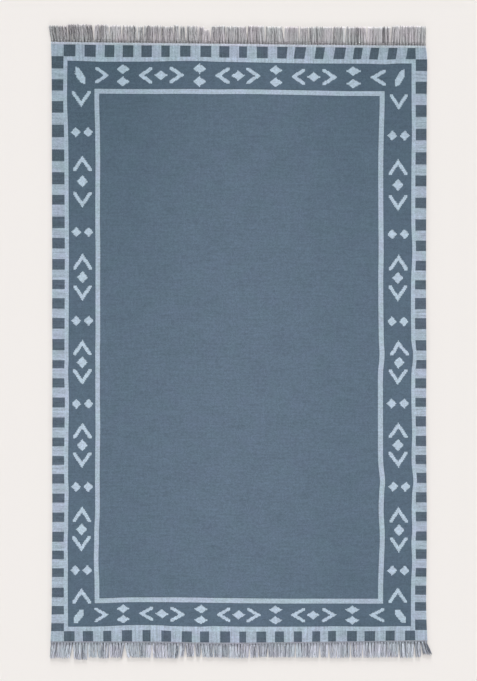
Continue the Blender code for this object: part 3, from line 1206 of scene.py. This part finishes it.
@dataclass(frozen=True)
class TuftOutline:
    """Where one tuft lies: its first knot, and the places of its two sides at the cloth and at the tips."""

    tuft: Tuft
    first_knot: int
    root_left: float
    root_right: float
    tip_left: float
    tip_right: float
    opens_from: float = 0.2
    opening_power: float = 0.9
    turned_in: float = 0.4

    def tip_place(self, knot: int, offset: float) -> float:
        """Place a yarn's tip, by its knot and by how far it lies from the middle of its lock, -1 to 1."""
        spacing = (self.tip_right - self.tip_left) / (self.tuft.last_knot - self.first_knot)
        return self.tip_left + spacing * (knot + 0.5 + 0.52 * offset - self.first_knot)

    def hold(self, x: np.ndarray, out: np.ndarray, margin: float) -> np.ndarray:
        """Turn a yarn back where it would cross the partings beside its tuft.

        Args:
            x: the yarn's places across.
            out: how far from the cloth they lie, in shares of the tuft's reach.
            margin: how far from the parting the yarn's middle stays.

        Returns:
            The new places across.
        """
        opening = np.clip((out - self.opens_from) / (1.0 - self.opens_from), 0.0, 1.0) ** self.opening_power
        left = self.root_left + (self.tip_left - self.root_left) * opening + margin
        right = self.root_right + (self.tip_right - self.root_right) * opening - margin
        x = np.where(x < left, left + self.turned_in * (left - x), x)
        return np.where(x > right, right - self.turned_in * (x - right), x)


@dataclass
class KnottedFringe:
    """The warp ends of one end of the cloth: gathered, knotted in bundles, and cut to a fringe."""

    plan: ClothPlan
    end: End
    tufts: tuple
    finish: YarnFinish
    knots: int = 123
    warps_per_knot: int = 5
    upper_yarns: int = 5
    lower_yarns: int = 5
    yarn_radius: float = 1.25
    knot_pitch: float = 12.39
    knot_middle: float = 6.8
    knot_length: float = 6.0
    knot_half_width: float = 3.0
    knot_half_height: float = 1.7
    wrap_radius: float = 1.1
    wrap_turns: float = 2.6
    bend_power: float = 1.4
    yarn_steps: int = 12
    cut_unevenness: float = 1.4
    tousle_left: float = 1.0
    tousle_right: float = 0.4
    crossing: float = 3.2
    root_shadow: float = 0.30
    shadow_share: float = 0.22
    mean_shade: float = 0.64
    left_shadow: float = 0.0
    right_shadow: float = 0.0
    seed: int = 21
    chance: np.random.Generator = field(init=False)

    def __post_init__(self) -> None:
        """Start the seeded random numbers."""
        self.chance = np.random.default_rng(self.seed)

    def edge_point(self, knot_place: float) -> np.ndarray:
        """Place a point on the cloth's end, at a place counted in knots from the left."""
        across = self.plan.half_width * (2.0 * knot_place / self.knots - 1.0)
        x, y = self.plan.place(np.array([across]), np.array([self.end.value * self.plan.half_length]))
        return np.array([x[0], y[0]])

    def outline_tufts(self) -> list[TuftOutline]:
        """Work out each tuft's outline from its parting on the left and its parting on the right."""
        outlines = []
        first_knot = 0
        left_notch = 0.0
        for tuft in self.tufts:
            root_left = self.edge_point(first_knot)[0]
            root_right = self.edge_point(tuft.last_knot)[0]
            tip_left = root_left + left_notch / 2 + tuft.lean
            tip_right = root_right - tuft.notch / 2 + tuft.lean
            outlines.append(TuftOutline(tuft, first_knot, root_left, root_right, tip_left, tip_right))
            first_knot = tuft.last_knot
            left_notch = tuft.notch
        return outlines

    def gather_warps(self, bundle: YarnBundle, root: np.ndarray) -> None:
        """Lead a knot's warps from the cloth's edge into the knot."""
        way = float(self.end.value)
        spread = self.plan.half_width * 2 / self.knots / self.warps_per_knot
        for warp in range(self.warps_per_knot):
            offset = (warp - (self.warps_per_knot - 1) / 2) * spread
            shares = np.array([0.0, 0.45, 1.0])
            x = root[0] + offset * (1.0 - 0.66 * shares)
            y = root[1] + way * (-2.5 + (self.knot_middle + 1.0) * shares)
            z = 2.7 + 0.3 * shares
            radius = np.array([1.0, 0.95, 1.0])
            bundle.lay(np.stack((x, y, z), axis=1), radius, self.chance.uniform(0.45, 0.85))

    def tie_knot(self, bundle: YarnBundle, root: np.ndarray) -> None:
        """Tie one knot: a core, and a yarn wound round it a few times on a slant."""
        way = float(self.end.value)
        middle = np.array([
            root[0] + self.chance.uniform(-0.6, 0.6), root[1] + way * (self.knot_middle + self.chance.uniform(-0.6, 0.6)),
        ])
        base = self.knot_half_height + self.wrap_radius + 0.05
        shares = np.linspace(0.0, 1.0, 5)
        core_y = middle[1] + way * (shares - 0.5) * (self.knot_length + 2.0)
        core = np.stack((np.full(5, middle[0]), core_y, np.full(5, base)), axis=1)
        swell = np.array([0.55, 0.95, 1.0, 0.95, 0.6]) * self.knot_half_width
        bundle.lay(core, swell, 0.25, flatness=0.55)
        steps = 30
        turn = np.linspace(0.0, 1.0, steps)
        start = self.chance.uniform(0.0, 1.0)
        angle = math.tau * (self.wrap_turns * turn + start)
        slant = 1.1 * np.sin(angle + 0.8)
        pinch = 1.0 - 0.30 * (2.0 * turn - 1.0) ** 2
        x = middle[0] + self.knot_half_width * pinch * np.cos(angle)
        y = middle[1] + way * ((turn - 0.5) * self.knot_length * 0.86 + slant)
        z = base + self.knot_half_height * pinch * np.sin(angle)
        radius = np.full(steps, self.wrap_radius) * np.clip(np.minimum(turn, 1.0 - turn) * 9.0, 0.55, 1.0)
        bundle.lay(np.stack((x, y, z), axis=1), radius, self.chance.uniform(0.3, 0.7), reference=(0.0, 1.0, 0.0))

    def tousle(self, knot: int) -> float:
        """Give how much the yarns of a knot wander, less from the left to the right."""
        share = knot / (self.knots - 1)
        return self.tousle_left + (self.tousle_right - self.tousle_left) * min(1.0, share * 1.8)

    def comb_lock(self, bundle: YarnBundle, knot: int, root: np.ndarray, outline: TuftOutline) -> None:
        """Comb out one lock of the fringe from its knot to its cut tip."""
        way = float(self.end.value)
        reach = outline.tuft.reach
        yarns = self.upper_yarns + self.lower_yarns
        tousle = self.tousle(knot)
        lock_shade = self.chance.uniform(-0.18, 0.18)
        for yarn in range(yarns):
            upper = yarn < self.upper_yarns
            count = self.upper_yarns if upper else self.lower_yarns
            place = yarn if upper else yarn - self.upper_yarns
            offset = (2.0 * (place + 0.5) / count - 1.0) + self.chance.uniform(-0.12, 0.12)
            start_y = root[1] + way * (self.knot_middle + self.knot_length / 2 - 1.0 if upper else -2.0)
            start_x = root[0] + offset * (self.knot_half_width + 0.6 if upper else self.knot_pitch / 2)
            length = reach - abs(start_y - root[1]) + self.chance.normal(0.0, self.cut_unevenness)
            share = np.linspace(0.0, 1.0, self.yarn_steps)
            cross = self.chance.normal(0.0, self.crossing) * tousle * (1.0 if upper else 0.4)
            end_x = outline.tip_place(knot, offset) + cross
            wave = self.chance.uniform(0.5, 2.0) * tousle + 0.25
            waves = self.chance.uniform(0.7, 1.9)
            phase = self.chance.uniform(0.0, math.tau)
            curl = wave * (np.sin(waves * math.tau * share + phase) - math.sin(phase)) * np.minimum(1.0, 2.0 * share)
            y = start_y + way * length * share
            out = np.abs(y - root[1]) / reach
            x = start_x + (end_x - start_x) * share ** self.bend_power + curl
            x = outline.hold(x, out, self.yarn_radius)
            rest = self.yarn_radius * 0.92 + (1.75 if upper else 0.0)
            drop = (3.3 - rest) * (1.0 - share) ** 3 if upper else 0.0
            z = rest + drop + 0.25 * np.sin(3.0 * math.tau * share + phase) * share
            radius = self.yarn_radius * self.chance.uniform(0.86, 1.14) * np.ones(self.yarn_steps)
            radius[-1] *= 0.55
            radius[0] *= 0.8 if upper else 1.0
            # Painted shade: the lower layer is darker all along and darkest near the cloth, where the knots and the
            # upper layer cover it; the locks at two corners are darkened as well.
            light = 1.0 if upper else np.clip(share / self.shadow_share, 0.0, 1.0)
            dim = self.root_shadow + (1.0 - self.root_shadow) * light
            mean = self.mean_shade - self.left_shadow * math.exp(-knot / 14.0) - (0.0 if upper else 0.30)
            mean -= self.right_shadow * math.exp((knot + 1 - self.knots) / 2.0)
            shade = np.clip(self.chance.normal(mean, 0.28) + lock_shade, 0.0, 1.0)
            path = np.stack((x, y, np.maximum(z, radius * 0.95)), axis=1)
            bundle.lay(path, radius, float(shade), dim=dim)

    def build(self) -> list[bpy.types.Object]:
        """Build the knots and the fringe of this end and dress them.

        Returns:
            The knots and the fringe.
        """
        label = self.end.name.lower()
        knots = YarnBundle(f"knots_{label}", sides=5)
        yarns = YarnBundle(f"fringe_yarns_{label}", sides=5)
        for outline in self.outline_tufts():
            for knot in range(outline.first_knot, outline.tuft.last_knot):
                root = self.edge_point(knot + 0.5)
                self.gather_warps(knots, root)
                self.tie_knot(knots, root)
                self.comb_lock(yarns, knot, root, outline)
        material = self.finish.make()
        pieces = [knots.finish(material), yarns.finish(material)]
        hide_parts(f"fringe_{label}")
        return pieces


class Lamp(NamedTuple):
    """One soft lamp: where it stands, as an angle to the left of the far end and one above the floor.

    light is what it gives to the floor, and width is the angle that it fills.
    """

    name: str
    left_of_far: float
    elevation: float
    light: float
    width: float


LAMPS = table(
    Lamp,
    ("key", 6, 50, 0.32, 40), ("low_far", 0, 9, 0.80, 14), ("low_near", 180, 9, 0.28, 14),
    ("low_left", 90, 17, 0.25, 26), ("low_right", -90, 17, 0.25, 26),
)


@dataclass
class Studio:
    """The pale floor, the even light all round, and a few soft lamps."""

    finish: FloorFinish
    radius: float = 60000.0
    segments: int = 96
    horizon: tuple[float, float, float] = (0.887, 0.855, 0.831)
    zenith: tuple[float, float, float] = (0.35, 0.35, 0.35)
    fade_end: float = 0.5

    def build_floor(self) -> bpy.types.Object:
        """Build the floor as a wide disc."""
        angles = np.arange(self.segments) * math.tau / self.segments
        points = np.stack((np.cos(angles), np.sin(angles), np.zeros(self.segments)), axis=1) * self.radius
        floor = new_piece("floor", points, [list(range(self.segments))], {})
        floor.data.materials.append(self.finish.make())
        return floor

    def light(self) -> None:
        """Set the sky, which is as pale as the floor at the horizon, and the lamps."""
        scene = bpy.context.scene
        world = bpy.data.worlds.new("studio_sky")
        world.use_nodes = True
        tree = world.node_tree
        where = tree.nodes.new("ShaderNodeTexCoord")
        parts = tree.nodes.new("ShaderNodeSeparateXYZ")
        tree.links.new(where.outputs["Generated"], parts.inputs[0])
        height = Wire(tree, parts.outputs["Z"]).greater(0.0) / self.fade_end
        blend = tree.nodes.new("ShaderNodeMix")
        blend.data_type = "RGBA"
        tree.links.new(height.lesser(1.0).socket, blend.inputs[0])
        blend.inputs[6].default_value = (*self.horizon, 1.0)
        blend.inputs[7].default_value = (*self.zenith, 1.0)
        tree.links.new(blend.outputs[2], tree.nodes["Background"].inputs["Color"])
        scene.world = world
        scene.view_settings.view_transform = "Standard"
        for lamp in LAMPS:
            self.place_lamp(scene, lamp)

    @staticmethod
    def place_lamp(scene: bpy.types.Scene, lamp: Lamp) -> None:
        """Place one lamp, strong enough for what it gives to the floor."""
        elevation = math.radians(lamp.elevation)
        data = bpy.data.lights.new(lamp.name, "SUN")
        data.energy = lamp.light / math.sin(elevation)
        data.angle = math.radians(lamp.width)
        sun = bpy.data.objects.new(lamp.name, data)
        sun.rotation_euler = (elevation - math.pi / 2, 0.0, math.radians(lamp.left_of_far))
        scene.collection.objects.link(sun)


@dataclass
class Photographer:
    """The camera straight above the rug, with the far end at the top of the picture."""

    middle: tuple[float, float] = (-3.2, 12.2)
    long_side: float = 2766.2
    lens: float = 50.0
    sensor: float = 36.0

    def build(self, plan: ClothPlan) -> bpy.types.Object:
        """Place the camera at the height that gives the photograph's frame.

        Args:
            plan: the cloth's plan, whose shift the camera follows.

        Returns:
            The camera.
        """
        data = bpy.data.cameras.new("camera")
        data.lens = self.lens
        data.sensor_width = self.sensor
        camera = bpy.data.objects.new("camera", data)
        height = self.long_side * self.lens / self.sensor
        x = (self.middle[0] + plan.shift[0]) * MM
        y = (self.middle[1] + plan.shift[1]) * MM
        camera.location = (x, y, height * MM)
        bpy.context.scene.collection.objects.link(camera)
        bpy.context.scene.camera = camera
        return camera


def main() -> None:
    """Build the rug, the studio and the camera."""
    logging.basicConfig(level=logging.INFO, format="%(message)s")
    plan = ClothPlan()
    plan.settle("rug_cloth")
    cloth = WovenCloth(plan, WovenFinish()).build()
    LOG.info("%s: %d faces", cloth.name, len(cloth.data.polygons))
    far_finish = YarnFinish("fringe_yarn_far", dark=(108, 107, 110), light=(216, 215, 218))
    near_finish = YarnFinish("fringe_yarn_near", dark=(112, 117, 128), light=(226, 231, 241))
    fringes = [
        KnottedFringe(plan, End.FAR, FAR_TUFTS, far_finish, seed=21, left_shadow=0.38),
        KnottedFringe(plan, End.NEAR, NEAR_TUFTS, near_finish, seed=22, tousle_left=0.7, tousle_right=0.5,
                      right_shadow=0.4),
    ]
    for fringe in fringes:
        for piece in fringe.build():
            LOG.info("%s: %d faces", piece.name, len(piece.data.polygons))
    studio = Studio(FloorFinish())
    studio.build_floor()
    studio.light()
    Photographer().build(plan)


if __name__ == "__main__":
    main()
